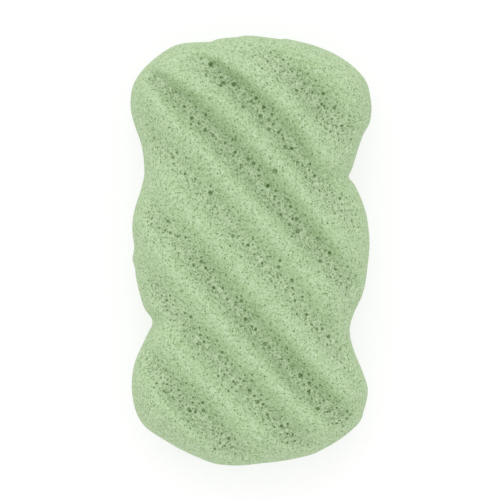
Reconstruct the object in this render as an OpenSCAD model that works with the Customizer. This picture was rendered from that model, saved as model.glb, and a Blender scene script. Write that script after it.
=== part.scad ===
// Body sponge of cast konjac foam: one soft block that lies flat on its back.
// +X is the width, +Y the length and +Z the thickness. The origin is the middle of the
// rest face. The upper face carries diagonal waves, and the outline has three lobes on
// each long side.

/* [Body] */
// Overall length
body_l = 130; // [110:1:150]
// Overall width across the lobes
body_w = 73; // [60:1:90]
// Overall thickness over the ridges in the middle
body_h = 33; // [28:1:42]
// How far the deepest notches between the lobes cut in from the sides
notch_depth = 6.8; // [4:0.2:8]

/* [Edges] */
// Height of the widest line above the rest face
rim_h = 12; // [8:0.5:16]
// How far in from the rim the upper shoulder is rounded
shoulder_r = 11; // [7:0.5:14]
// How far in from the rim the lower edge is rounded
heel_r = 6; // [4:0.5:9]
// Rise of the upper face from its shoulders to its middle
crown_h = 3; // [1:0.5:5]
// Bulge of the back before it is cut flat
belly_h = 1.5; // [1:0.1:2.5]
// Depth cut off that bulge to make the rest face
rest_cut = 0.5; // [0.2:0.1:0.8]

/* [Waves] */
// Spacing of the grooves, measured along the length
wave_pitch = 21; // [18:0.5:25]
// Depth of the deepest groove below the ridges beside it
groove_depth = 4.4; // [2:0.1:7]
// How far in from the rim the grooves reach their full depth
groove_run_in = 7; // [4:0.5:12]

/* [Hidden] */

half_l = body_l/2;
half_w = body_w/2;

// Outline seen from above, clockwise from the middle of the far end. The two ends are in
// shares of half the width and half the length.
far_right_shares = [[0, 1], [0.24, 0.985], [0.31, 0.984], [0.55, 0.95], [0.77, 0.89], [0.945, 0.8]];
near_end_shares = [
    [0.945, -0.735], [0.9, -0.8], [0.755, -0.873], [0.59, -0.928], [0.45, -0.958],
    [0.2, -0.984], [-0.05, -0.998], [-0.2, -0.998], [-0.34, -0.984], [-0.57, -0.928],
    [-0.745, -0.87], [-0.883, -0.813], [-0.96, -0.73]
];
far_left_shares = [
    [-0.97, 0.77], [-0.87, 0.855], [-0.685, 0.937], [-0.55, 0.965], [-0.38, 0.97],
    [-0.33, 0.971], [-0.26, 0.984], [-0.12, 0.993]
];
// Each side between those: how far in it lies, as a share of the notch depth, and its place
// along the length, as a share of half the length. The right side has its notch above the
// middle lobe and the left side below it, and each has a shallow waist on the other side.
right_dip_shares = [
    [0, 0.69], [0.06, 0.6], [0.4, 0.53], [0.68, 0.44], [0.86, 0.38], [1, 0.34], [0.71, 0.3],
    [0.27, 0.19], [0.08, 0.05], [0.17, -0.09], [0.38, -0.2], [0.76, -0.29], [0.95, -0.37],
    [0.8, -0.455], [0.36, -0.57], [0.15, -0.65]
];
left_dip_shares = [
    [0.08, -0.62], [0.26, -0.51], [0.73, -0.4], [1, -0.33], [0.62, -0.26], [0.33, -0.15],
    [0.23, -0.08], [0.13, -0.04], [0.2, 0.02], [0.11, 0.1], [0.22, 0.19], [0.54, 0.3],
    [0.65, 0.37], [0.52, 0.49], [0.16, 0.605], [0.03, 0.68]
];
// Points along each span between two of those
rim_steps = 3;

// Each groove's floor line: its place along the length, as shares of the wave pitch, at
// stations evenly spaced across the width from left to right. The first and last lines lie
// outside the outline, or at its corners, and only space the outermost ridges.
groove_line_shares = [
    [4.4, 4.18, 4.02, 3.9, 3.59, 3.31, 2.94],
    [3.47, 3.28, 3.06, 2.85, 2.48, 1.98, 1.58],
    [2.97, 2.79, 2.57, 2.1, 1.45, 0.77, 0.25],
    [2.63, 2.26, 1.8, 1.18, 0.56, -0.15, -0.84],
    [1.98, 1.39, 0.74, 0.06, -0.59, -1.33, -1.92],
    [0.84, 0.22, -0.37, -1.05, -1.67, -2.23, -2.69],
    [-0.19, -0.74, -1.42, -2.07, -2.66, -3.16, -3.68],
    [-1.33, -1.95, -2.48, -2.97, -3.47, -3.96, -4.46],
    [-2.45, -2.94, -3.53, -4.02, -4.55, -5.05, -5.54]
];
// Depth of each groove as a share of the deepest one
groove_depth_shares = [0, 0.85, 1, 1, 0.75, 1, 0.8, 0.85, 0];
// Plain waves beyond the first and last lines, for a longer body or a closer pitch
spare_waves = 3;

// Cross-sections follow the waves: so many to a wave, and closer ones at each end
sections_per_wave = 6;
end_section_shares = [0.03, 0.11, 0.24];
// Least gap between a closer section and an evenly spaced one, as a share of the even gap
section_room_share = 0.3;
// Points across a section, as shares of its length, over the top and back underneath
top_shares = [
    0.007, 0.028, 0.065, 0.12, 0.21, 0.34, 0.5, 0.66, 0.79, 0.88, 0.935, 0.972, 0.993
];
base_shares = [0.987, 0.955, 0.9, 0.75, 0.5, 0.25, 0.1, 0.045, 0.013];

function mix(a, b, t) = a + (b - a)*t;
function last_of(list) = len(list) - 1;
function after(list, i) = list[(i + 1) % len(list)];

// Smooth curve from b to c that runs on from a and towards d
function spline(a, b, c, d, t) =
    b + t/2*(c - a + t*(2*a - 5*b + 4*c - d + t*(3*(b - c) + d - a)));

function end_knots(shares) = [for (s = shares) [half_w*s.x, half_l*s.y]];
function side_knots(shares) = [for (s = shares) [half_w - notch_depth*s.x, half_l*s.y]];
function flipped(points) = [for (p = points) [-p.x, p.y]];

rim_knots = concat(
    end_knots(far_right_shares), side_knots(right_dip_shares), end_knots(near_end_shares),
    flipped(side_knots(left_dip_shares)), end_knots(far_left_shares)
);
function rim_knot(i) = rim_knots[(i + len(rim_knots)) % len(rim_knots)];

rim = [
    for (i = [0:last_of(rim_knots)], k = [0:rim_steps - 1])
        spline(rim_knot(i - 1), rim_knot(i), rim_knot(i + 1), rim_knot(i + 2), k/rim_steps)
];

last_line = last_of(groove_line_shares);
last_station = last_of(groove_line_shares[0]);
station_gap = body_w/last_station;

// Place along the length of groove n at a place x across the width
function groove_y(n, x) =
    let (
        g = groove_line_shares[n],
        u = (x + half_w)/station_gap,
        k = max(0, min(last_station - 1, floor(u))),
        before = k > 0 ? g[k - 1] : 2*g[0] - g[1],
        beyond = k < last_station - 1 ? g[k + 2] : 2*g[last_station] - g[last_station - 1]
    )
    wave_pitch*spline(before, g[k], g[k + 1], beyond, u - k);

// Line of one wave number: a whole number is a groove's floor and a half is a ridge
function wave_y(w, x) =
    let (n = max(0, min(last_line - 1, floor(w))))
    mix(groove_y(n, x), groove_y(n + 1, x), w - n);

// Wave number at a point of the plan, also a few waves beyond the first and last lines
function wave_at(p) =
    lookup(-p.y, [for (n = [-spare_waves:last_line + spare_waves]) [-wave_y(n, p.x), n]]);

function gap_to_side(p, a, b) =
    let (ab = b - a, t = max(0, min(1, (p - a)*ab/(ab*ab))))
    norm(p - a - t*ab);

// How far a point of the plan lies inside the rim
function rim_gap(p) = min([for (i = [0:last_of(rim)]) gap_to_side(p, rim[i], after(rim, i))]);

// Round edge: 0 at the rim, 1 from the radius inwards
function rounding(gap, radius) =
    let (s = 1 - min(1, gap/radius))
    sqrt(max(0, 1 - s*s));

// Swell of a face: 1 in the middle, falling to 0 at the ends and sides
function swell(p) = (1 - pow(p.x/half_w, 2))*(1 - pow(p.y/half_l, 2));

// Depth of the groove nearest to a wave number, and none beyond the first and last lines
function nearest_groove_depth(w) =
    groove_depth*lookup(round(w), [for (n = [0:last_line]) [n, groove_depth_shares[n]]]);

function groove_drop(w, gap) =
    let (s = min(1, gap/groove_run_in), run_in = s*s*(3 - 2*s))
    nearest_groove_depth(w)*run_in*(1 + cos(360*w))/2;

function top_z(p, w) =
    let (gap = rim_gap(p))
    rim_h + (body_h - rim_h - crown_h*(1 - swell(p)))*rounding(gap, shoulder_r)
        - groove_drop(w, gap);

function base_z(p) =
    let (flat_h = belly_h - rest_cut)
    max(0, rim_h - (rim_h - flat_h + belly_h*swell(p))*rounding(rim_gap(p), heel_r));

rim_waves = [for (p = rim) wave_at(p)];
first_wave = min(rim_waves);
last_wave = max(rim_waves);

function rim_end(w) = [for (i = [0:last_of(rim)]) if (rim_waves[i] == w) rim[i]][0];

// Places where one wave line meets the rim
function rim_crossings(w) = [
    for (i = [0:last_of(rim)])
        let (a = rim_waves[i], b = after(rim_waves, i))
            if ((a < w) != (b < w)) mix(rim[i], after(rim, i), (w - a)/(b - a))
];

// The outermost two of those, the left one first
function section_ends(w) =
    let (
        ends = rim_crossings(w),
        left = min([for (p = ends) p.x]),
        right = max([for (p = ends) p.x])
    )
    [for (x = [left, right]) [for (p = ends) if (p.x == x) p][0]];

function section_point(w, ends, t) =
    let (x = mix(ends[0].x, ends[1].x, t)) [x, wave_y(w, x)];

function lifted(p, z) = [p.x, p.y, z];

// One closed section: the left rim, over the top, the right rim and back underneath
function section(w) =
    let (ends = section_ends(w))
    concat(
        [lifted(ends[0], rim_h)],
        [for (t = top_shares) let (p = section_point(w, ends, t)) lifted(p, top_z(p, w))],
        [lifted(ends[1], rim_h)],
        [for (t = base_shares) let (p = section_point(w, ends, t)) lifted(p, base_z(p))]
    );

// One more section starts at the tip of the right notch, whose lower flank runs nearly
// along a wave, unless an evenly spaced one is close to it
right_knots = side_knots(right_dip_shares);
tip_x = min([for (p = right_knots) p.x]);
tip_step = sections_per_wave*wave_at([for (p = right_knots) if (p.x == tip_x) p][0]);
tip_past_even = tip_step - floor(tip_step);
tip_room = min(tip_past_even, 1 - tip_past_even);
tip_steps = tip_room > section_room_share ? [tip_step] : [];

// Evenly spaced sections stay clear of the closer ones at each end
end_reach = max(end_section_shares);
even_from = ceil(sections_per_wave*(first_wave + end_reach) + section_room_share);
even_to = floor(sections_per_wave*(last_wave - end_reach) - section_room_share);
section_waves = concat(
    [for (s = end_section_shares) first_wave + s],
    [for (k = [even_from:even_to])
        for (step = concat([k], tip_steps))
            if (floor(step) == k) step/sections_per_wave],
    [for (i = [last_of(end_section_shares):-1:0]) last_wave - end_section_shares[i]]
);

// Faces of a band between two sections, each square split along its shorter diagonal
function band(points, a, b, c, d) =
    norm(points[b] - points[c]) < norm(points[a] - points[d])
        ? [[a, b, c], [b, d, c]]
        : [[a, b, d], [a, d, c]];

module sponge_body() {
    sections = [for (w = section_waves) section(w)];
    ring = len(sections[0]);
    around = [0:last_of(sections[0])];
    starts = [for (j = [0:last_of(sections)]) 1 + j*ring];
    last_start = starts[last_of(starts)];
    near_tip = last_start + ring;
    points = concat(
        [lifted(rim_end(first_wave), rim_h)],
        [for (s = sections) each s],
        [lifted(rim_end(last_wave), rim_h)]
    );
    faces = concat(
        [for (i = around) [0, 1 + (i + 1) % ring, 1 + i]],
        [for (start = starts, i = around)
            let (next = (i + 1) % ring)
                if (start < last_start)
                    each band(points, start + i, start + next, start + ring + i, start + ring + next)],
        [for (i = around) [near_tip, last_start + i, last_start + (i + 1) % ring]]
    );
    color("#b9d9a8") polyhedron(points, faces, convexity = 6);
}

sponge_body();
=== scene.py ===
"""Looks of a body sponge of cast konjac foam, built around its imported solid.

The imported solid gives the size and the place. One dense foam mesh stands for it, with the same
lobed outline and diagonal waves. A Geometry Nodes tree sinks the foam's pores into that mesh,
and a material carries the finer ones.
"""

import logging
import math
from dataclasses import dataclass
from enum import Enum

import bpy
import numpy as np
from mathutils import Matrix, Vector


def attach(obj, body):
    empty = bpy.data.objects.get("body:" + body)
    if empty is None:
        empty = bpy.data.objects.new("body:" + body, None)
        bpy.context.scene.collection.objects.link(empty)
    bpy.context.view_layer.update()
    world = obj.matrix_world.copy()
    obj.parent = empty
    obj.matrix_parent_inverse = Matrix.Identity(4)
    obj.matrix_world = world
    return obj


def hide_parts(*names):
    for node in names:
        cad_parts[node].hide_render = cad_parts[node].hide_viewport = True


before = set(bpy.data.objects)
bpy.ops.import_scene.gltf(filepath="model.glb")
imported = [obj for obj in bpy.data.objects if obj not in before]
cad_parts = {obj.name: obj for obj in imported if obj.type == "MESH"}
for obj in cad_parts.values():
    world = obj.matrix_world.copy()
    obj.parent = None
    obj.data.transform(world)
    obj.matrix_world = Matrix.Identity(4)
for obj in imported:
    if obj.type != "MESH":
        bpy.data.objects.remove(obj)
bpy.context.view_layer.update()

log = logging.getLogger("sponge")

MM = 0.001
LENGTH = 130 * MM
WIDTH = 73 * MM
CAD_NODE = "sponge_body"

Triple = tuple[float, float, float]
Colour = Triple
Shares = tuple[tuple[float, ...], ...]
Span = tuple[float, float]


class Track(Enum):
    """Point attributes that the foam mesh carries from its form to its pores and finish."""

    VALLEY = "valley"
    FLANK = "flank"
    PORE_SHADE = "pore"
    WALL = "wall"


def spline(a: np.ndarray, b: np.ndarray, c: np.ndarray, d: np.ndarray, t: np.ndarray) -> np.ndarray:
    """Runs smoothly from b to c, on from a and towards d.

    Args:
        a: Value before the span.
        b: Value where the span starts.
        c: Value where the span ends.
        d: Value after the span.
        t: Place in the span, from 0 to 1.

    Returns:
        The value at t.
    """
    return b + t / 2 * (c - a + t * (2 * a - 5 * b + 4 * c - d + t * (3 * (b - c) + d - a)))


def smooth_step(x: np.ndarray) -> np.ndarray:
    """Rises smoothly from 0 at 0 to 1 at 1, and is flat outside."""
    s = np.clip(x, 0, 1)
    return s * s * (3 - 2 * s)


@dataclass(frozen=True)
class Outline:
    """Lobed outline of the sponge, seen from above and clockwise from the middle of the far end.

    The two ends are in shares of half the width and half the length. A side's points are how far
    in they lie, as shares of the notch depth, and their place along the length. Each side dips in
    twice: the right side deepest beyond its middle lobe, and the left side deepest before it.
    """

    half_width: float
    half_length: float
    notch_depth: float = 6.8 * MM
    far_right_shares: Shares = (
        (0, 1), (0.24, 0.985), (0.31, 0.984), (0.55, 0.95), (0.77, 0.89), (0.945, 0.8),
    )  # fmt: skip
    right_dip_shares: Shares = (
        (0, 0.69), (0.06, 0.6), (0.4, 0.53), (0.68, 0.44), (0.86, 0.38), (1, 0.34),
        (0.71, 0.3), (0.27, 0.19), (0.08, 0.05), (0.17, -0.09), (0.38, -0.2), (0.76, -0.29),
        (0.95, -0.37), (0.8, -0.455), (0.36, -0.57), (0.15, -0.65),
    )  # fmt: skip
    near_end_shares: Shares = (
        (0.945, -0.735), (0.9, -0.8), (0.755, -0.873), (0.59, -0.928), (0.45, -0.958),
        (0.2, -0.984), (-0.05, -0.998), (-0.2, -0.998), (-0.34, -0.984), (-0.57, -0.928),
        (-0.745, -0.87), (-0.883, -0.813), (-0.96, -0.73),
    )  # fmt: skip
    left_dip_shares: Shares = (
        (0.08, -0.62), (0.26, -0.51), (0.73, -0.4), (1, -0.33), (0.62, -0.26),
        (0.33, -0.15), (0.23, -0.08), (0.13, -0.04), (0.2, 0.02), (0.11, 0.1), (0.22, 0.19),
        (0.54, 0.3), (0.65, 0.37), (0.52, 0.49), (0.16, 0.605), (0.03, 0.68),
    )  # fmt: skip
    far_left_shares: Shares = (
        (-0.97, 0.77), (-0.87, 0.855), (-0.685, 0.937), (-0.55, 0.965), (-0.38, 0.97),
        (-0.33, 0.971), (-0.26, 0.984), (-0.12, 0.993),
    )  # fmt: skip
    span_steps: int = 24

    def knots(self) -> np.ndarray:
        """Gives the outline's listed points in metres, as rows of x and y."""
        size = np.array([self.half_width, self.half_length])

        def side(shares: Shares, sign: int) -> np.ndarray:
            """Turns dips and places along one side into points."""
            dip, place = np.array(shares).T
            return np.stack([sign * (self.half_width - self.notch_depth * dip), size[1] * place], 1)

        return np.concatenate([
            np.array(self.far_right_shares) * size,
            side(self.right_dip_shares, 1),
            np.array(self.near_end_shares) * size,
            side(self.left_dip_shares, -1),
            np.array(self.far_left_shares) * size,
        ])  # fmt: skip

    def stretches(self, across: int, along: int) -> np.ndarray:
        """Walks the outline clockwise from its far left corner, in four stretches of even steps.

        Args:
            across: Steps along each end.
            along: Steps along each side.

        Returns:
            One row of x and y for each step, with no point twice.
        """
        knots = self.knots()
        a, b, c, d = (np.roll(knots, shift, axis=0)[:, None] for shift in (1, 0, -1, -2))
        t = np.linspace(0, 1, self.span_steps, endpoint=False)[None, :, None]
        dense = spline(a, b, c, d, t).reshape(-1, 2)
        signs = ((-1, 1), (1, 1), (1, -1), (-1, -1))
        shares = knots / (self.half_width, self.half_length)
        corners = [int(np.argmax(shares @ sign)) * self.span_steps for sign in signs]
        found = []
        for start, end, steps in zip(corners, np.roll(corners, -1), (across, along) * 2):
            line = dense[np.arange(start, end + 1 if end > start else end + 1 + len(dense)) % len(dense)]
            reach = np.concatenate([[0], np.cumsum(np.linalg.norm(np.diff(line, axis=0), axis=1))])
            even = np.linspace(0, reach[-1], steps, endpoint=False)
            found.append(np.stack([np.interp(even, reach, line[:, axis]) for axis in (0, 1)], 1))
        return np.concatenate(found)


@dataclass(frozen=True)
class Waves:
    """Diagonal waves across the upper face.

    Each row of line_shares is a groove's floor: its place along the length, as shares of the
    pitch, at stations evenly spaced across the width. The first and last rows only space the
    outermost ridges. Each row of depth_shares is that groove's depth at the same stations.
    """

    half_width: float
    pitch: float = 21 * MM
    groove_depth: float = 4.4 * MM
    run_in: float = 5 * MM
    line_shares: Shares = (
        (4.4, 4.18, 4.02, 3.9, 3.59, 3.31, 2.94),
        (3.47, 3.28, 3.08, 2.84, 2.52, 1.91, 1.4),
        (2.97, 2.79, 2.66, 2.18, 1.54, 0.74, 0.3),
        (2.83, 2.33, 1.78, 1.16, 0.49, -0.17, -0.86),
        (1.91, 1.39, 0.74, 0.05, -0.6, -1.34, -1.92),
        (0.76, 0.24, -0.38, -1.06, -1.73, -2.27, -2.71),
        (-0.18, -0.77, -1.47, -2.07, -2.63, -3.14, -3.68),
        (-1.26, -1.97, -2.52, -3.07, -3.5, -3.96, -4.46),
        (-2.45, -2.94, -3.53, -4.02, -4.55, -5.05, -5.54),
    )
    depth_shares: Shares = (
        (0, 0, 0, 0, 0, 0, 0),
        (0, 0, 0, 0.5, 1.15, 1.1, 0.15),
        (0, 0.15, 1, 1.15, 1.15, 0.88, 0.5),
        (0.9, 1.1, 1.25, 1.25, 1.15, 1.1, 0.7),
        (0.6, 0.7, 0.8, 0.9, 0.85, 0.9, 0.5),
        (0.65, 0.8, 1.05, 1.15, 1.3, 1.25, 0.8),
        (0.55, 0.8, 0.95, 0.95, 1, 0.7, 0.5),
        (0.5, 1.05, 1.25, 0.9, 0.5, 0.5, 0.5),
        (0, 0, 0, 0, 0, 0, 0),
    )

    def along(self, shares: Shares, x: np.ndarray) -> np.ndarray:
        """Runs each row of a table smoothly across the width.

        Args:
            shares: The table, with one column for each station.
            x: Places across the width.

        Returns:
            One row of values for each row of the table.
        """
        table = np.array(shares)
        ends = 2 * table[:, [0, -1]] - table[:, [1, -2]]
        table = np.concatenate([ends[:, :1], table, ends[:, 1:]], 1)
        stations = table.shape[1] - 2
        u = (x / self.half_width + 1) * (stations - 1) / 2
        k = np.clip(np.floor(u).astype(int), 0, stations - 2)
        return spline(table[:, k], table[:, k + 1], table[:, k + 2], table[:, k + 3], u - k)

    def numbers(self, plan: np.ndarray) -> np.ndarray:
        """Gives each plan point its wave number, whole on a groove's floor and half on a ridge."""
        lines = self.pitch * self.along(self.line_shares, plan[:, 0])
        n = np.clip((lines >= plan[:, 1]).sum(0) - 1, 0, len(lines) - 2)
        at = np.arange(len(plan))
        return n + (lines[n, at] - plan[:, 1]) / (lines[n, at] - lines[n + 1, at])

    def reach(self, plan: np.ndarray, numbers: np.ndarray, gap: np.ndarray) -> np.ndarray:
        """Says how deep the nearest groove is beside each point, as a share of the full depth.

        Args:
            plan: The points, seen from above.
            numbers: Their wave numbers.
            gap: How far inside the rim they lie.

        Returns:
            0 at the rim, up to the groove's own share inside it.
        """
        nearest = np.clip(np.rint(numbers), 0, len(self.depth_shares) - 1).astype(int)
        share = self.along(self.depth_shares, plan[:, 0])[nearest, np.arange(len(plan))]
        return np.maximum(share, 0) * smooth_step(gap / self.run_in)

    def valleys(self, plan: np.ndarray, gap: np.ndarray) -> np.ndarray:
        """Says how far down into a groove each point lies: 0 on a ridge, 1 on a full groove's floor."""
        numbers = self.numbers(plan)
        return self.reach(plan, numbers, gap) * (1 + np.cos(2 * math.pi * numbers)) / 2

    def flanks(self, plan: np.ndarray, gap: np.ndarray) -> np.ndarray:
        """Says how steeply each point lies: 1 on the bank above a groove and -1 on the one below."""
        numbers = self.numbers(plan)
        return -self.reach(plan, numbers, gap) * np.sin(2 * math.pi * numbers)


@dataclass(frozen=True)
class MeshSteps:
    """How finely the foam mesh is cut, in counts."""

    across: int = 300
    along: int = 460
    shoulder: int = 84
    heel: int = 42


@dataclass
class FoamBody:
    """Form of the sponge as a closed dense mesh: a waved upper face, round edges and a plain back."""

    steps: MeshSteps = MeshSteps()
    half_width: float = WIDTH / 2
    half_length: float = LENGTH / 2
    height: float = 33 * MM
    rim_height: float = 12 * MM
    shoulder_radius: float = 11 * MM
    heel_radius: float = 6 * MM
    crown: float = 3 * MM
    belly: float = 1.5 * MM
    rest_cut: float = 0.5 * MM
    normal_reach: float = 8 * MM
    wall_angle: float = math.radians(50)
    chart_gap: float = 2 * MM
    strips_height: float = 82 * MM
    batch: int = 4000

    def __post_init__(self) -> None:
        """Lays out the outline and the waves."""
        self.outline = Outline(self.half_width, self.half_length)
        self.waves = Waves(self.half_width)

    def swell(self, plan: np.ndarray) -> np.ndarray:
        """Gives 1 in the middle of a face, falling to 0 at its ends and sides."""
        x, y = (plan / (self.half_width, self.half_length)).T
        return (1 - x**2) * (1 - y**2)

    def inset(self, rim: np.ndarray, distance: float) -> np.ndarray:
        """Draws the rim in along its smoothed normals, so that narrow lobes don't fold over.

        Args:
            rim: Points clockwise round the rim.
            distance: How far in the new line lies.

        Returns:
            One point for each point of the rim.
        """
        tangent = np.roll(rim, -1, axis=0) - np.roll(rim, 1, axis=0)
        normal = np.stack([tangent[:, 1], -tangent[:, 0]], 1)
        step = np.linalg.norm(np.diff(rim, axis=0), axis=1).mean()
        frequency = np.fft.fftfreq(len(rim)) / step
        keep = np.exp(-2 * (math.pi * frequency * self.normal_reach) ** 2)[:, None]
        normal = np.real(np.fft.ifft(np.fft.fft(normal, axis=0) * keep, axis=0))
        return rim + distance * normal / np.linalg.norm(normal, axis=1)[:, None]

    def gap(self, plan: np.ndarray, rim: np.ndarray) -> np.ndarray:
        """Measures how far each plan point lies inside the rim.

        Args:
            plan: Points to measure.
            rim: Points clockwise round the rim.

        Returns:
            The least distance from each point to the rim.
        """
        a = rim[::2]
        side = np.roll(a, -1, axis=0) - a
        square = (side**2).sum(1)
        found = np.empty(len(plan))
        for start in range(0, len(plan), self.batch):
            part = slice(start, start + self.batch)
            p = plan[part, None] - a[None]
            t = np.clip((p * side).sum(2) / square, 0, 1)
            found[part] = ((p - t[..., None] * side) ** 2).sum(2).min(1)
        return np.sqrt(found)

    def patch(self, ring: np.ndarray) -> np.ndarray:
        """Fills a ring of points with a grid that follows its four stretches.

        Args:
            ring: Points clockwise from the far left corner.

        Returns:
            The grid, from the far row to the near one and from left to right.
        """
        u = np.linspace(0, 1, self.steps.across + 1)[None, :, None]
        v = np.linspace(0, 1, self.steps.along + 1)[:, None, None]
        far, right, near, left = (ring[i] for i in self.borders())
        corner = (
            (1 - u) * (1 - v) * far[0] + u * (1 - v) * far[-1]
            + (1 - u) * v * near[0] + u * v * near[-1]
        )  # fmt: skip
        return (
            (1 - v) * far[None] + v * near[None]
            + (1 - u) * left[:, None] + u * right[:, None] - corner
        )  # fmt: skip

    def borders(self) -> tuple[np.ndarray, ...]:
        """Gives the ring's places along the grid's far, right, near and left borders."""
        m, n = self.steps.across, self.steps.along
        count = 2 * (m + n)
        far = np.arange(m + 1)
        right = m + np.arange(n + 1)
        near = 2 * m + n - np.arange(m + 1)
        left = (count - np.arange(n + 1)) % count
        return far, right, near, left

    def rows(self, rim: np.ndarray) -> tuple[np.ndarray, np.ndarray]:
        """Places the rings of the round edges, from the back's inner ring up to the top's.

        Args:
            rim: Points clockwise round the rim.

        Returns:
            The plan points of each ring, and each ring's angle: negative below the rim.
        """
        below = -np.linspace(math.pi / 2, 0, self.steps.heel, endpoint=False)
        above = np.linspace(0, math.pi / 2, self.steps.shoulder + 1)
        angles = np.concatenate([below, above])
        reach = (1 - np.cos(angles))[:, None, None]
        heel, shoulder = (self.inset(rim, r) - rim for r in (self.heel_radius, self.shoulder_radius))
        return rim + reach * np.where(angles[:, None, None] < 0, heel, shoulder), angles

    def top_height(self, plan: np.ndarray, rise: np.ndarray, gap: np.ndarray) -> np.ndarray:
        """Lifts points of the upper face.

        Args:
            plan: The points seen from above.
            rise: How far up the round edge each lies, from 0 at the rim to 1 past the edge.
            gap: How far inside the rim each lies.

        Returns:
            The heights.
        """
        full = self.height - self.rim_height - self.crown * (1 - self.swell(plan))
        dip = self.waves.groove_depth * self.waves.valleys(plan, gap)
        return self.rim_height + full * rise - dip

    def back_height(self, plan: np.ndarray, rise: np.ndarray) -> np.ndarray:
        """Lowers points of the back, which is cut flat where the sponge rests on it."""
        drop = self.rim_height - (self.belly - self.rest_cut) + self.belly * self.swell(plan)
        return np.maximum(0, self.rim_height - drop * rise)

    def shape(self) -> tuple[np.ndarray, np.ndarray, np.ndarray, np.ndarray]:
        """Works out the whole mesh.

        Returns:
            The vertices, the quads, each quad corner's place in the pattern map, and each
            vertex's gap to the rim, which is below 0 on the back.
        """
        rim = self.outline.stretches(self.steps.across, self.steps.along)
        plans, angles = self.rows(rim)
        count, levels = len(rim), len(angles)
        ring_plan = plans.reshape(-1, 2)
        ring_rise = np.repeat(np.sin(np.abs(angles)), count)
        upper = np.repeat(angles >= 0, count)
        ring_gap = self.gap(ring_plan, rim)
        ring_z = np.where(
            upper,
            self.top_height(ring_plan, ring_rise, ring_gap),
            self.back_height(ring_plan, ring_rise),
        )
        verts = [np.column_stack([ring_plan, ring_z])]
        gaps = [np.where(upper, ring_gap, -ring_gap)]
        ids = np.arange(levels * count).reshape(levels, count)
        j = np.arange(count)
        walls = np.stack([ids[:-1], ids[1:], np.roll(ids[1:], -1, 1), np.roll(ids[:-1], -1, 1)], 2)
        quads, maps = [walls.reshape(-1, 4)], [self.wall_map(plans, angles, j)]
        for level, is_top in ((levels - 1, True), (0, False)):
            grid = self.patch(plans[level])
            inner = grid[1:-1, 1:-1].reshape(-1, 2)
            inner_gap = self.gap(inner, rim)
            ones = np.ones(len(inner))
            z = self.top_height(inner, ones, inner_gap) if is_top else self.back_height(inner, ones)
            index = np.empty(grid.shape[:2], int)
            index[1:-1, 1:-1] = (sum(map(len, verts)) + np.arange(len(inner))).reshape(
                self.steps.along - 1, self.steps.across - 1
            )
            far, right, near, left = self.borders()
            index[0], index[-1] = ids[level, far], ids[level, near]
            index[:, 0], index[:, -1] = ids[level, left], ids[level, right]
            corner = np.stack([index[:-1, :-1], index[1:, :-1], index[1:, 1:], index[:-1, 1:]], 2)
            place = np.stack([grid[:-1, :-1], grid[1:, :-1], grid[1:, 1:], grid[:-1, 1:]], 2)
            order = (0, 1, 2, 3) if is_top else (0, 3, 2, 1)
            quads.append(corner[:, :, order].reshape(-1, 4))
            maps.append(self.face_map(place[:, :, order].reshape(-1, 4, 2), is_top))
            verts.append(np.column_stack([inner, z]))
            gaps.append(inner_gap if is_top else -inner_gap)
        return tuple(np.concatenate(part) for part in (verts, quads, maps, gaps))

    def face_map(self, plan: np.ndarray, is_top: bool) -> np.ndarray:
        """Lays the upper face and the back side by side in the pattern map, as seen in plan."""
        size = np.array([self.half_width, self.half_length])
        shift = size if is_top else size * (3, 1) + (self.chart_gap, 0)
        return self.to_map(plan + shift)

    def wall_map(self, plans: np.ndarray, angles: np.ndarray, columns: np.ndarray) -> np.ndarray:
        """Lays the wall's quads in the pattern map.

        Those that face up or down join the upper face or the back, and the steep ones make three
        strips above them, unrolled.

        Args:
            plans: Plan points of each ring.
            angles: Angle of each ring on the round edges.
            columns: Places round a ring.

        Returns:
            The place of each quad's four corners.
        """
        count = len(columns)
        z_radius = np.where(angles < 0, self.rim_height, self.height - self.rim_height)
        radius = np.where(angles < 0, self.heel_radius, self.shoulder_radius)
        pace = np.sqrt((radius * np.sin(angles)) ** 2 + (z_radius * np.cos(angles)) ** 2)
        middle = (pace[1:] + pace[:-1]) / 2 * np.diff(angles)
        climb = np.concatenate([[0], np.cumsum(middle)])
        steep = np.abs(angles[:-1] + angles[1:]) / 2 < self.wall_angle
        first = climb[:-1][steep].min()
        strip_height = climb[1:][steep].max() - first + self.chart_gap
        per_strip = math.ceil(count / 3)
        strip, place = columns // per_strip, columns % per_strip
        step = 4 * (self.half_width + self.half_length) / count
        low, high = climb[:-1, None] - first, climb[1:, None] - first
        base = 2 * self.half_length + self.chart_gap + strip[None] * strip_height
        start = np.broadcast_to(place[None] * step, (len(low), count))
        unrolled = np.stack([
            np.stack([start, base + low], 2),
            np.stack([start, base + high], 2),
            np.stack([start + step, base + high], 2),
            np.stack([start + step, base + low], 2),
        ], 2)  # fmt: skip
        unrolled = self.to_map(unrolled)
        after = np.roll(plans, -1, axis=1)
        flat = np.stack([plans[:-1], plans[1:], after[1:], after[:-1]], 2)
        seen = np.where(
            (angles[:-1] >= 0)[:, None, None, None],
            self.face_map(flat, True),
            self.face_map(flat, False),
        )
        return np.where(steep[:, None, None, None], unrolled, seen).reshape(-1, 4, 2)

    def to_map(self, place: np.ndarray) -> np.ndarray:
        """Brings places in metres into the unit square of the pattern map."""
        width = 4 * self.half_width + 3 * self.chart_gap
        height = 2 * self.half_length + self.chart_gap + self.strips_height
        return (place + self.chart_gap / 2) / (width, height)

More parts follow.
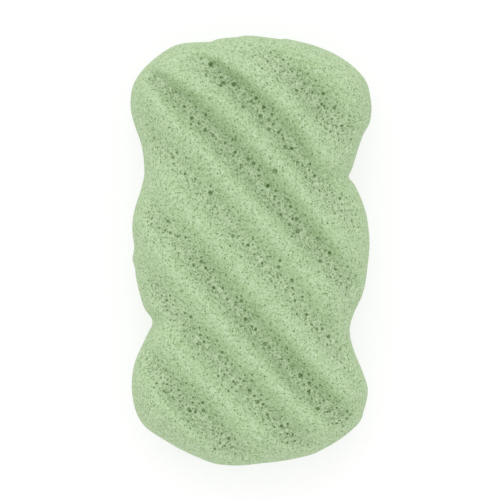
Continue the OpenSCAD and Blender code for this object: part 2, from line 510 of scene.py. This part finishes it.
    def mesh(self) -> bpy.types.Mesh:
        """Makes the mesh, with its pattern map and the tracks that pores and finish follow."""
        verts, quads, maps, gaps = self.shape()
        mesh = bpy.data.meshes.new("foam_form")
        mesh.vertices.add(len(verts))
        mesh.loops.add(quads.size)
        mesh.polygons.add(len(quads))
        mesh.vertices.foreach_set("co", verts.astype(np.float32).ravel())
        mesh.loops.foreach_set("vertex_index", quads.astype(np.int32).ravel())
        mesh.polygons.foreach_set("loop_start", np.arange(0, quads.size, 4, dtype=np.int32))
        mesh.polygons.foreach_set("use_smooth", np.ones(len(quads), bool))
        mesh.update(calc_edges=True)
        mesh.validate()
        layer = mesh.uv_layers.new(name="OFBake", do_init=False)
        layer.uv.foreach_set("vector", maps.astype(np.float32).ravel())
        plan, inside = verts[:, :2], np.maximum(gaps, 0)
        tracks = {
            Track.VALLEY: self.waves.valleys(plan, inside),
            Track.FLANK: self.waves.flanks(plan, inside),
        }
        for track, values in tracks.items():
            attribute = mesh.attributes.new(track.value, "FLOAT", "POINT")
            attribute.data.foreach_set("value", values.astype(np.float32))
        return mesh


class Value:
    """One number socket of a node tree, with the arithmetic that shader and pore maths use."""

    def __init__(self, board: "Board", socket: bpy.types.NodeSocket) -> None:
        """Keeps the tree's board and the socket."""
        self.board = board
        self.socket = socket

    def _math(self, operation: str, *others: "Value | float", clamp: bool = False) -> "Value":
        """Adds one Math node.

        Args:
            operation: The node's operation.
            others: Its operands, in order.
            clamp: Whether the result is kept from 0 to 1.

        Returns:
            The node's result.
        """
        settings = {"operation": operation, "use_clamp": clamp}
        return self.board.add("ShaderNodeMath", settings, dict(enumerate(others)))["Value"]

    def __add__(self, other: "Value | float") -> "Value":
        """Adds."""
        return self._math("ADD", self, other)

    __radd__ = __add__

    def __sub__(self, other: "Value | float") -> "Value":
        """Takes other away."""
        return self._math("SUBTRACT", self, other)

    def __rsub__(self, other: float) -> "Value":
        """Takes this away from a number."""
        return self._math("SUBTRACT", other, self)

    def __mul__(self, other: "Value | float") -> "Value":
        """Multiplies."""
        return self._math("MULTIPLY", self, other)

    __rmul__ = __mul__

    def __truediv__(self, other: "Value | float") -> "Value":
        """Divides by other."""
        return self._math("DIVIDE", self, other)

    def __rtruediv__(self, other: float) -> "Value":
        """Divides a number by this."""
        return self._math("DIVIDE", other, self)

    def most(self, other: "Value | float") -> "Value":
        """Takes the larger of two values."""
        return self._math("MAXIMUM", self, other)

    def clamped(self) -> "Value":
        """Keeps the value from 0 to 1."""
        return self._math("ADD", self, 0.0, clamp=True)

    def smooth(self, start: float, end: float) -> "Value":
        """Rises smoothly from 0 where the value is start to 1 where it is end."""
        sockets = {"Value": self, "From Min": start, "From Max": end}
        return self.board.add("ShaderNodeMapRange", {"interpolation_type": "SMOOTHSTEP"}, sockets)["Result"]


class Made:
    """A node that a board added. Its outputs are read by name or identifier."""

    def __init__(self, board: "Board", node: bpy.types.Node) -> None:
        """Keeps the board and the node."""
        self.board = board
        self.node = node

    def __getitem__(self, name: str | int) -> Value:
        """Gives one output."""
        return Value(self.board, self.board.find(self.node.outputs, name))


class Board:
    """Adds nodes to one shader or geometry tree."""

    def __init__(self, tree: bpy.types.NodeTree) -> None:
        """Starts with an empty tree."""
        self.tree = tree
        tree.nodes.clear()

    @staticmethod
    def find(sockets: bpy.types.bpy_prop_collection, name: str | int) -> bpy.types.NodeSocket:
        """Finds a socket by its place, identifier or name."""
        if isinstance(name, int):
            return sockets[name]
        exact = [s for s in sockets if s.identifier == name]
        return exact[0] if exact else next(s for s in sockets if s.name == name and s.enabled)

    def add(self, kind: str, settings: dict | None = None, sockets: dict | None = None) -> Made:
        """Adds one node.

        Args:
            kind: The node's type.
            settings: Its properties, set before its sockets.
            sockets: Values, links or objects for its inputs, by place, identifier or name.

        Returns:
            The node.
        """
        node = self.tree.nodes.new(kind)
        for name, value in (settings or {}).items():
            setattr(node, name, value)
        for name, value in (sockets or {}).items():
            socket = self.find(node.inputs, name)
            if isinstance(value, Value):
                self.tree.links.new(value.socket, socket)
            elif socket.type == "RGBA" and len(value) == 3:
                socket.default_value = (*value, 1)
            else:
                socket.default_value = value
        return Made(self, node)

    def vector(
        self, operation: str, a: Value, b: "Value | Triple", output: str = "Vector"
    ) -> Value:
        """Adds one Vector Math node on two vectors and gives one output."""
        return self.add("ShaderNodeVectorMath", {"operation": operation}, {0: a, 1: b})[output]

    def scaled(self, vector: Value, factor: Value) -> Value:
        """Scales a vector by a number."""
        sockets = {0: vector, "Scale": factor}
        return self.add("ShaderNodeVectorMath", {"operation": "SCALE"}, sockets)["Vector"]

    def sampled(self, kind: str, points: Value, value: Value, index: Value) -> Value:
        """Reads a value of one point, picked by its index."""
        return self.add(
            "GeometryNodeSampleIndex",
            {"data_type": kind, "domain": "POINT"},
            {"Geometry": points, "Value": value, "Index": index},
        )["Value"]

    def track(self, track: Track) -> Value:
        """Reads one of the foam's tracks in a shader."""
        return self.add("ShaderNodeAttribute", {"attribute_name": track.value})["Fac"]

    def blend(self, mask: Value, below: "Value | Colour", above: "Value | Colour") -> Value:
        """Lays one colour over another.

        Args:
            mask: 0 where the colour below shows and 1 where the one above does.
            below: The first colour.
            above: The second colour.

        Returns:
            The mixed colour.
        """
        sockets = {"Factor_Float": mask, "A_Color": below, "B_Color": above}
        return self.add("ShaderNodeMix", {"data_type": "RGBA"}, sockets)["Result_Color"]


@dataclass(frozen=True)
class MarkedPores:
    """The plainest pores of the upper face, each read off the photo.

    A row is a pore's place, rightwards and towards the far end from the middle, its radius, all
    three in steps of which the sponge's length has 430, and its darkness from 0 to 1. The pores
    open only above least_height.
    """

    step: float = LENGTH / 430
    least_height: float = 14 * MM
    # A pore's darkness sets how much painted shade the material lays inside it.
    rows: Shares = (
        (-39.5, 186, 2.8, 0.6), (-16.5, 166, 2.7, 0.55), (-29.5, 165, 2.1, 0.65),
        (-58, 132.5, 2.1, 0.75), (-45, 135, 1.8, 0.75), (-51, 127, 1.9, 0.75),
        (-45, 120, 2.1, 0.75), (-30, 173, 1.4, 0.85), (-81.5, 122.5, 1.1, 0.9),
        (-18, 110.5, 1.4, 0.75), (5.5, 152, 2, 0.85), (13, 143, 2.1, 0.85),
        (21, 135.5, 1.5, 0.85), (10, 134.5, 2.6, 0.45), (-7, 143.5, 2.2, 0.5),
        (18.5, 130.5, 2.1, 0.55), (18.5, 121, 2.2, 0.55), (28, 118, 1.8, 0.75),
        (33, 111.5, 1.6, 0.8), (35.5, 103.5, 2.5, 0.5), (41.5, 102, 2.1, 0.85),
        (72.5, 156.5, 2, 0.75), (56.5, 156.5, 1.3, 0.75), (71, 146, 1.5, 0.85),
        (83.5, 142, 2.1, 0.55), (82.5, 125, 1.1, 0.8), (48, 135.5, 1.2, 0.75),
        (-40, 57, 2.8, 0.5), (-73.5, 97.5, 1.8, 0.7), (-65.5, 76.5, 1.5, 0.8),
        (-55, 71.5, 1.5, 0.7), (-72.5, 14, 1.3, 0.85), (24, 79, 3.1, 0.5),
        (17, 64.5, 2.3, 0.95), (25, 59.5, 1.6, 0.75), (24.5, 54, 1.5, 0.9),
        (24, 51, 1.3, 0.8), (40, 43.5, 1.7, 0.85), (37, 50, 2.2, 0.4),
        (28.5, 47, 2, 0.45), (30.5, 36, 2, 0.65), (46, 31.5, 2.3, 0.55),
        (39.5, 26, 2.3, 0.5), (47.5, 19.5, 2.7, 0.5), (3, 86.5, 2.3, 0.65),
        (-15.5, 98, 2, 0.65), (-9, 85.5, 2, 0.45), (20, 91.5, 1.4, 0.75),
        (52, 85, 1.6, 0.75), (-2.5, 5.5, 1.9, 0.75), (-17.5, 14.5, 2, 0.6),
        (84, 47.5, 1.2, 0.75), (78.5, -2.5, 2, 0.75), (70, -10.5, 1.6, 0.75),
        (85, -19, 1.5, 0.85), (98, -28, 1.4, 0.75), (86.5, -30, 1.2, 0.75),
        (41, -30, 2.3, 0.6), (-36.5, -37, 2, 0.85), (-45, -17.5, 1.8, 0.85),
        (-37, -19, 1.4, 0.85), (-49.5, -11.5, 2.2, 0.4), (-56.5, -14.5, 2, 0.5),
        (-30.5, -32, 1.2, 0.75), (-23, -48.5, 1.7, 0.75), (-83, -59.5, 1.3, 0.75),
        (-65.5, -62.5, 1.5, 0.75), (-59.5, -66.5, 2, 0.75), (-50, -84.5, 1.6, 0.85),
        (-52.5, -93.5, 2, 0.5), (-33.5, -90.5, 1.4, 0.75), (20, -6, 1.2, 0.85),
        (11.5, -13, 1.5, 0.85), (29, -10.5, 2, 0.55), (27.5, -17, 2.2, 0.55),
        (23, -25.5, 1.3, 0.75), (30.5, -25, 1.3, 0.75), (56, -64, 1.7, 0.75),
        (71.5, -78.5, 1.7, 0.75), (78, -86, 2.1, 0.75), (43.5, -80.5, 1.2, 0.75),
        (-5, -68.5, 2.2, 0.8), (-9.5, -50.5, 2, 0.6), (-9.5, -45.5, 1.3, 0.75),
        (-15, -54.5, 1.3, 0.75), (-6, -60, 1.4, 0.75), (5, -79, 1.7, 0.85),
        (29, -89.5, 1.3, 0.75), (18.5, -97, 2.2, 0.55), (-83.5, -133.5, 1.3, 0.85),
        (-79.5, -131, 1.1, 0.8), (-48, -152, 1.6, 0.95), (-60, -160, 1.7, 0.9),
        (-55, -161.5, 1.5, 0.85), (-47, -160, 2, 0.65), (-22, -188, 2, 0.75),
        (-26, -123.5, 1.6, 0.75), (-28.5, -102, 2, 0.65), (-23, -109.5, 1.2, 0.85),
        (-1, -140, 2.4, 0.55), (-1.5, -142, 1, 0.9), (-5.5, -124.5, 1.2, 0.75),
        (1.5, -124, 1.3, 0.85), (14, -126, 1.2, 0.8), (7, -151, 2.4, 0.5),
        (12.5, -153.5, 1.7, 0.75), (17, -164, 2.1, 0.5), (31, -175, 2, 0.75),
        (37, -183, 1.5, 0.95), (42, -184.5, 1.5, 0.75), (30.5, -114, 1.4, 0.85),
        (38, -109, 1.4, 0.75), (50, -125, 2.8, 0.65), (58.5, -132.5, 1.9, 0.75),
        (58.5, -140.5, 2, 0.75), (67.5, -157.5, 1.9, 0.8), (76.5, -161, 1.4, 0.75),
        (69.5, -152, 1.2, 0.8),
    )

    def mesh(self) -> bpy.types.Mesh:
        """Makes a flat cloud of points, each with its pore's radius and darkness."""
        rows = np.array(self.rows)
        places = np.column_stack([rows[:, :2] * self.step, np.zeros(len(rows))])
        mesh = bpy.data.meshes.new("marked_pores")
        mesh.from_pydata(places.tolist(), [], [])
        for name, values in (("mark_radius", rows[:, 2] * self.step), ("mark_dark", rows[:, 3])):
            attribute = mesh.attributes.new(name, "FLOAT", "POINT")
            attribute.data.foreach_set("value", values.astype(np.float32))
        return mesh


@dataclass(frozen=True)
class PoreLayer:
    """One size of pores: how closely they lie, and how wide and dark they are."""

    name: str
    spacing: float
    radius_low: float
    radius_high: float
    # dark_low and dark_high: how much painted shade these pores get inside.
    dark_low: float
    dark_high: float
    ridge_share: float
    seed: int

    def inputs(self) -> dict[str, float]:
        """Names the layer's inputs of the tree, with their values."""
        return {
            f"{self.name} Spacing": self.spacing,
            f"{self.name} Radius Low": self.radius_low,
            f"{self.name} Radius High": self.radius_high,
            f"{self.name} Dark Low": self.dark_low,
            f"{self.name} Dark High": self.dark_high,
            f"{self.name} Ridge Share": self.ridge_share,
        }


@dataclass(frozen=True)
class PorePattern:
    """Open cells of the foam, sunk into its mesh by a Geometry Nodes tree.

    A span is where a mask starts and ends: open_foam on the way down into a groove, keep_off and
    pore_edge in millimetres inside a pore, and upper_face in shares of the marks' least height.
    """

    layers: tuple[PoreLayer, ...] = (
        PoreLayer("Wide", 5.5 * MM, 0.42 * MM, 0.75 * MM, 0.35, 0.6, 0.45, 11),
        PoreLayer("Middle", 1.65 * MM, 0.28 * MM, 0.54 * MM, 0.3, 0.9, 0.75, 23),
        PoreLayer("Narrow", 1.05 * MM, 0.18 * MM, 0.36 * MM, 0.2, 0.76, 0.93, 37),
    )
    marked: MarkedPores = MarkedPores()
    open_foam: Span = (0.15, 0.8)
    keep_off: Span = (-0.22, -0.06)
    pore_edge: Span = (-0.05, 0.14)
    upper_face: Span = (1.0, 1.2)
    crowding: float = 2.5
    ridge_dark: float = 0.5
    depth_share: float = 1.4
    lip: float = 0.12 * MM
    oval: float = 0.12 * MM
    oval_size: float = 0.9 * MM
    uneven: float = 0.15 * MM
    uneven_size: float = 9 * MM
    rest_reach: float = 4 * MM

    def tree(self) -> bpy.types.GeometryNodeTree:
        """Builds the tree, with a named input for each size."""
        tree = bpy.data.node_groups.new("foam_pores", "GeometryNodeTree")
        tree.interface.new_socket("Geometry", in_out="INPUT", socket_type="NodeSocketGeometry")
        tree.interface.new_socket("Geometry", in_out="OUTPUT", socket_type="NodeSocketGeometry")
        for name in self.sizes():
            tree.interface.new_socket(name, in_out="INPUT", socket_type="NodeSocketFloat")
        tree.interface.new_socket("Foam", in_out="INPUT", socket_type="NodeSocketMaterial")
        tree.interface.new_socket("Marks", in_out="INPUT", socket_type="NodeSocketObject")
        board = Board(tree)
        given = board.add("NodeGroupInput")
        place = board.add("GeometryNodeInputPosition")["Position"]
        wobble = self.noise(board, place, given["Oval Size"], given["Oval Reach"])
        looked = board.vector("ADD", place, wobble)
        open_foam = self.named(board, Track.VALLEY.value).smooth(*self.open_foam)
        found = [self.marks(board, given, looked)]
        found += [self.layer(board, layer, given, looked, open_foam) for layer in self.layers]
        reach, dark = found[0]
        for next_reach, next_dark in found[1:]:
            free = 1.0 - (reach / MM).smooth(*self.keep_off)
            dark = dark.most(next_dark * free)
            reach = reach.most(next_reach)
        stored = given["Geometry"]
        # The pores' darkness is stored for the material, which lays it as painted shade inside them.
        for track, value in ((Track.PORE_SHADE, dark), (Track.WALL, reach / MM)):
            stored = board.add(
                "GeometryNodeStoreNamedAttribute",
                {"data_type": "FLOAT", "domain": "POINT"},
                {"Geometry": stored, "Name": track.value, "Value": value},
            )["Geometry"]
        inside = reach.most(0.0)
        sink = given["Depth Share"] * inside * inside / (inside + given["Lip"])
        normal = board.add("GeometryNodeInputNormal")["Normal"]
        height = board.add("ShaderNodeSeparateXYZ", {}, {"Vector": place})["Z"]
        loose = (height / given["Rest Reach"]).clamped()
        lumps = self.noise(board, place, given["Uneven Size"], given["Uneven Reach"] * loose)
        offset = board.vector("ADD", board.scaled(normal, 0.0 - sink), lumps)
        moved = board.add("GeometryNodeSetPosition", {}, {"Geometry": stored, "Offset": offset})
        real = board.add("GeometryNodeRealizeInstances", {}, {"Geometry": moved["Geometry"]})
        dressed = board.add(
            "GeometryNodeSetMaterial", {}, {"Geometry": real["Geometry"], "Material": given["Foam"]}
        )
        board.add("NodeGroupOutput", {}, {"Geometry": dressed["Geometry"]})
        return tree

    @staticmethod
    def noise(board: Board, place: Value, size: Value, reach: Value) -> Value:
        """Makes a smooth random shift.

        Args:
            board: The tree's board.
            place: Where it is read.
            size: How far apart its swells lie.
            reach: How far it shifts.

        Returns:
            The shift.
        """
        colour = board.add(
            "ShaderNodeTexNoise", {}, {"Vector": place, "Scale": 1.0 / size, "Detail": 1.0}
        )["Color"]
        return board.scaled(board.vector("SUBTRACT", colour, (0.5, 0.5, 0.5)), reach * 2.0)

    @staticmethod
    def named(board: Board, name: str) -> Value:
        """Reads a number that points carry under a name."""
        made = board.add("GeometryNodeInputNamedAttribute", {"data_type": "FLOAT"}, {"Name": name})
        return made["Attribute"]

    @staticmethod
    def drawn(board: Board, seed: int) -> Value:
        """Draws a number from 0 to 1 for each point."""
        sockets = {"Min_001": 0.0, "Max_001": 1.0, "Seed": seed}
        return board.add("FunctionNodeRandomValue", {"data_type": "FLOAT"}, sockets)["Value_001"]

    def around(
        self, board: Board, points: Value, radius: Value, darkness: Value, looked: Value
    ) -> tuple[Value, Value]:
        """Opens a pore around each point.

        Args:
            board: The tree's board.
            points: The points.
            radius: Each point's pore radius.
            darkness: How dark each point's pore is.
            looked: Where the nearest pore is looked for.

        Returns:
            How far inside a pore each place lies, below 0 between the pores, and how dark it
            is there, from 0 to 1.
        """
        nearest = board.add(
            "GeometryNodeSampleNearest",
            {"domain": "POINT"},
            {"Geometry": points, "Sample Position": looked},
        )["Index"]
        place = board.add("GeometryNodeInputPosition")["Position"]
        centre = board.sampled("FLOAT_VECTOR", points, place, nearest)
        size = board.sampled("FLOAT", points, radius, nearest)
        reach = size - board.vector("DISTANCE", looked, centre, output="Value")
        inner = (reach / MM).smooth(*self.pore_edge)
        return reach, inner * board.sampled("FLOAT", points, darkness, nearest)

    def marks(self, board: Board, given: Made, looked: Value) -> tuple[Value, Value]:
        """Adds the nodes of the marked pores, which are on the upper face alone.

        Args:
            board: The tree's board.
            given: The tree's inputs.
            looked: Where the nearest pore is looked for.

        Returns:
            As for the layers of scattered pores.
        """
        made = board.add("GeometryNodeObjectInfo", {}, {"Object": given["Marks"]})
        flat = board.vector("MULTIPLY", looked, (1, 1, 0))
        size, shade = self.named(board, "mark_radius"), self.named(board, "mark_dark")
        reach, dark = self.around(board, made["Geometry"], size, shade, flat)
        height = board.add("ShaderNodeSeparateXYZ", {}, {"Vector": looked})["Z"]
        upper = (height / given["Marks Height"]).smooth(*self.upper_face)
        return reach - (1.0 - upper), dark * upper

    def layer(
        self, board: Board, layer: PoreLayer, given: Made, looked: Value, open_foam: Value
    ) -> tuple[Value, Value]:
        """Adds the nodes of one size of pores.

        Args:
            board: The tree's board.
            layer: The size.
            given: The tree's inputs.
            looked: Where the nearest pore is looked for.
            open_foam: How open the foam's surface is, 1 in the grooves and 0 on the ridges.

        Returns:
            How far inside a pore each point lies, below 0 between the pores, and how dark it
            is there, from 0 to 1.
        """
        spacing = given[f"{layer.name} Spacing"]
        points = board.add(
            "GeometryNodeDistributePointsOnFaces",
            {"distribute_method": "POISSON"},
            {
                "Mesh": given["Geometry"],
                "Distance Min": spacing,
                "Density Max": self.crowding / (spacing * spacing),
                "Seed": layer.seed,
            },
        )["Points"]
        drawn = self.drawn(board, layer.seed + 1)
        ridge = given[f"{layer.name} Ridge Share"]
        room = ridge + (1.0 - ridge) * open_foam
        small, wide = given[f"{layer.name} Radius Low"], given[f"{layer.name} Radius High"]
        radius = (small + (wide - small) * drawn) * room
        shade = self.drawn(board, layer.seed + 2)
        faint, strong = given[f"{layer.name} Dark Low"], given[f"{layer.name} Dark High"]
        dimmed = self.ridge_dark + (1 - self.ridge_dark) * room
        darkness = (faint + (strong - faint) * shade * shade) * dimmed
        return self.around(board, points, radius, darkness, looked)

    def sizes(self) -> dict[str, float]:
        """Names the tree's number inputs, with their values."""
        named = {}
        for layer in self.layers:
            named.update(layer.inputs())
        named["Depth Share"] = self.depth_share
        named["Lip"] = self.lip
        named["Oval Reach"] = self.oval
        named["Oval Size"] = self.oval_size
        named["Uneven Reach"] = self.uneven
        named["Uneven Size"] = self.uneven_size
        named["Rest Reach"] = self.rest_reach
        named["Marks Height"] = self.marked.least_height
        return named

    def sink(self, mesh: bpy.types.Mesh, foam: bpy.types.Material) -> bpy.types.Mesh:
        """Runs the tree on a mesh.

        Args:
            mesh: The plain form.
            foam: The material that the result gets.

        Returns:
            A plain mesh with its pores.
        """
        holder = bpy.data.objects.new("foam_form", mesh)
        bpy.context.scene.collection.objects.link(holder)
        modifier = holder.modifiers.new("pores", "NODES")
        modifier.node_group = self.tree()
        marks = bpy.data.objects.new("marked_pores", self.marked.mesh())
        bpy.context.scene.collection.objects.link(marks)
        values = {**self.sizes(), "Foam": foam, "Marks": marks}
        for item in modifier.node_group.interface.items_tree:
            if item.in_out == "INPUT" and item.name in values:
                modifier[item.identifier] = values[item.name]
        graph = bpy.context.evaluated_depsgraph_get()
        made = bpy.data.meshes.new_from_object(
            holder.evaluated_get(graph), preserve_all_data_layers=True, depsgraph=graph
        )
        bpy.data.objects.remove(holder)
        bpy.data.meshes.remove(marks.data)
        return made


@dataclass(frozen=True)
class FoamFinish:
    """Moist pale green konjac foam. Colours are linear, and a reach is where a mask starts and ends."""

    name: str = "konjac_foam"
    ridge: Colour = (0.412, 0.578, 0.307)
    # valley: the grooves' greyer tone, darkened further as painted shade down in the grooves
    valley: Colour = (0.316, 0.426, 0.24)
    # flank: painted shade on the bank above each groove, the side turned away from the key light
    flank: Colour = (0.36, 0.53, 0.245)
    # wall: pale tone of the cell walls, also laid as random pale mottle and as painted highlights on walls
    # and pore lips
    wall: Colour = (0.605, 0.755, 0.5)
    # pore: painted shade inside the pores and fine pits, also laid as random darker mottle
    pore: Colour = (0.1, 0.2, 0.045)
    cell_size: float = 0.75 * MM
    grain_size: float = 0.5 * MM
    patch_size: float = 4 * MM
    cloud_size: float = 1.1 * MM
    bump: float = 0.08 * MM
    roughness: float = 0.62
    specular: float = 0.3
    pit_reach: Span = (0.12, 0.42)
    pit_draw: Span = (0.3, 1.0)
    wall_reach: Span = (0.4, 0.8)
    lip_highlight_reach: Span = (-0.2, -0.05)
    lip_highlight_end: Span = (-0.05, 0.06)
    valley_shade_reach: Span = (0.2, 1.1)
    patch_reach: Span = (0.45, 0.7)
    cloud_reach: Span = (0.5, 0.7)
    bank_shade_share: float = 0.45
    bank_calm: float = 0.25
    patch_share: float = 0.2
    pale_share: float = 0.6
    deep_share: float = 0.22
    wall_pale_and_highlight_share: float = 0.45
    rim_pale_and_highlight_share: float = 0.3
    lip_highlight_share: float = 0.45
    dot_share: float = 0.6
    ridge_pits: float = 0.75
    dot_height: float = 0.4

    def cells(self, board: Board, place: Value, size: float) -> tuple[Value, Value]:
        """Scatters fine pits, too small for the mesh, with walls between them.

        Args:
            board: The material's board.
            place: Where the pits are read.
            size: How far apart they lie.

        Returns:
            How deep in a pit a point lies, and how much it lies on a wall, both from 0 to 1.
        """
        made = board.add("ShaderNodeTexVoronoi", {}, {"Vector": place, "Scale": 1 / size})
        drawn = board.add("ShaderNodeSeparateColor", {}, {"Color": made["Color"]})["Red"]
        pit = (1.0 - made["Distance"].smooth(*self.pit_reach)) * drawn.smooth(*self.pit_draw)
        return pit, made["Distance"].smooth(*self.wall_reach)

    def mottle(self, board: Board, place: Value, size: float) -> Value:
        """Gives a soft patchy pattern around 0.5."""
        return board.add(
            "ShaderNodeTexNoise", {}, {"Vector": place, "Scale": 1 / size, "Detail": 2.0}
        )["Fac"]

    def material(self) -> bpy.types.Material:
        """Builds the material."""
        material = bpy.data.materials.new(self.name)
        material.use_nodes = True
        board = Board(material.node_tree)
        place = board.add("ShaderNodeTexCoord")["Object"]
        valley, flank, pore, reach = (board.track(t) for t in Track)
        bank = flank.clamped()
        calm = 1.0 - self.bank_calm * bank
        pit, wall = self.cells(board, place, self.cell_size)
        dot, rim = self.cells(board, place, self.grain_size)
        patch = self.mottle(board, place, self.patch_size)
        cloud = self.mottle(board, place, self.cloud_size)
        # Painted highlight: a pale ring on each pore's lip, where its wall would catch the light.
        lip = reach.smooth(*self.lip_highlight_reach) * (1.0 - reach.smooth(*self.lip_highlight_end))
        # Painted shade: the colour darkens towards the valley colour down in the grooves.
        colour = board.blend(valley.smooth(*self.valley_shade_reach), self.ridge, self.valley)
        # Painted shade on the bank above each groove, the side turned away from the key light.
        colour = board.blend(bank * self.bank_shade_share, colour, self.flank)
        colour = board.blend(patch.smooth(*self.patch_reach) * self.patch_share, colour, self.wall)
        pale = cloud.smooth(*self.cloud_reach) * self.pale_share
        deep = (1.0 - cloud).smooth(*self.cloud_reach) * self.deep_share
        colour = board.blend(pale * calm, colour, self.wall)
        colour = board.blend(deep * calm, colour, self.pore)
        # Pale lines on the cell walls, partly their own pale tone and partly painted highlight, plus a
        # painted highlight on each pore's lip.
        light = (wall * self.wall_pale_and_highlight_share + rim * self.rim_pale_and_highlight_share) * calm + lip * self.lip_highlight_share
        colour = board.blend(light.clamped(), colour, self.wall)
        # Painted shade in the fine pits, which the mesh is too coarse to sink.
        crowd = self.ridge_pits + (1 - self.ridge_pits) * valley
        dark = (pit + dot * self.dot_share) * crowd * calm
        colour = board.blend(dark.clamped(), colour, self.pore)
        # Painted shade inside the pores that the tree sank, as strong as their stored darkness.
        colour = board.blend(pore, colour, self.pore)
        bump = board.add(
            "ShaderNodeBump",
            {},
            {"Height": 1.0 - pit - self.dot_height * dot, "Strength": 1.0, "Distance": self.bump},
        )["Normal"]
        shader = board.add(
            "ShaderNodeBsdfPrincipled",
            {},
            {
                "Base Color": colour,
                "Roughness": self.roughness,
                "Specular IOR Level": self.specular,
                "Normal": bump,
            },
        )["BSDF"]
        board.add("ShaderNodeOutputMaterial", {}, {"Surface": shader})
        return material


@dataclass(frozen=True)
class Studio:
    """Plain soft light, a pale floor and a long lens straight above the sponge."""

    view: float = 151.2 * MM
    focus_height: float = 12 * MM
    floor_half: float = 2.6
    lens: float = 1500.0
    shift: float = 0.15 * MM
    reach: float = 100.0
    sky: float = 0.88
    key: float = 0.16
    key_spread: float = math.radians(50)
    key_toward: Triple = (-0.1, 0.6, 0.75)
    floor_bounce: float = 0.95
    floor_seen: float = 0.35
    floor_glow: float = 0.7

    @staticmethod
    def seen(board: Board) -> Value:
        """Gives 1 to what the camera sees, straight or in a gloss or through glass, else 0."""
        ray = board.add("ShaderNodeLightPath")
        return (ray["Is Camera Ray"] + ray["Is Glossy Ray"] + ray["Is Transmission Ray"]).clamped()

    def light(self) -> None:
        """Lights the sponge from all round, and a little more from its far end."""
        world = bpy.data.worlds.new("white_tent")
        bpy.context.scene.world = world
        world.use_nodes = True
        board = Board(world.node_tree)
        strength = self.sky + (1.0 - self.sky) * self.seen(board)
        sky = board.add("ShaderNodeBackground", {}, {"Color": (1, 1, 1), "Strength": strength})
        board.add("ShaderNodeOutputWorld", {}, {"Surface": sky["Background"]})
        lamp = bpy.data.lights.new("key", "SUN")
        lamp.energy = self.key * math.pi
        lamp.angle = self.key_spread
        sun = bpy.data.objects.new("key", lamp)
        sun.rotation_euler = Vector(self.key_toward).to_track_quat("Z", "Y").to_euler()
        bpy.context.scene.collection.objects.link(sun)

    def floor(self) -> None:
        """Lays a wide white floor that keeps the sponge's shadow."""
        half = self.floor_half
        mesh = bpy.data.meshes.new("floor")
        corners = [(-half, -half, 0), (half, -half, 0), (half, half, 0), (-half, half, 0)]
        mesh.from_pydata(corners, [], [(0, 1, 2, 3)])
        material = bpy.data.materials.new("white_floor")
        material.use_nodes = True
        board = Board(material.node_tree)
        matt, dim = (
            board.add("ShaderNodeBsdfDiffuse", {}, {"Color": (grey, grey, grey)})["BSDF"]
            for grey in (self.floor_bounce, self.floor_seen)
        )
        glow = board.add(
            "ShaderNodeEmission", {}, {"Color": (1, 1, 1), "Strength": self.floor_glow}
        )["Emission"]
        lifted = board.add("ShaderNodeAddShader", {}, {0: dim, 1: glow})["Shader"]
        sockets = {0: self.seen(board), 1: matt, 2: lifted}
        mixed = board.add("ShaderNodeMixShader", {}, sockets)["Shader"]
        board.add("ShaderNodeOutputMaterial", {}, {"Surface": mixed})
        mesh.materials.append(material)
        floor = bpy.data.objects.new("floor", mesh)
        bpy.context.scene.collection.objects.link(floor)

    def camera(self) -> None:
        """Looks straight down, with the sponge's length along the image's height."""
        data = bpy.data.cameras.new("camera")
        data.lens = self.lens
        data.clip_end = self.reach
        camera = bpy.data.objects.new("camera", data)
        away = self.view / data.sensor_width * self.lens
        camera.location = (-self.shift, self.shift, self.focus_height + away)
        bpy.context.scene.collection.objects.link(camera)
        bpy.context.scene.camera = camera


def place_foam() -> bpy.types.Object:
    """Builds the foam piece and puts it in the solid's place."""
    mesh = PorePattern().sink(FoamBody().mesh(), FoamFinish().material())
    mesh.name = "sponge_foam"
    foam = bpy.data.objects.new("sponge_foam", mesh)
    bpy.context.scene.collection.objects.link(foam)
    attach(foam, "root")
    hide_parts(CAD_NODE)
    return foam


def main() -> None:
    logging.basicConfig(level=logging.INFO, format="%(message)s")
    bpy.context.scene.view_settings.view_transform = "Standard"
    foam = place_foam()
    log.info("%s: %d faces", foam.name, len(foam.data.polygons))
    studio = Studio()
    studio.light()
    studio.floor()
    studio.camera()


if __name__ == "__main__":
    main()
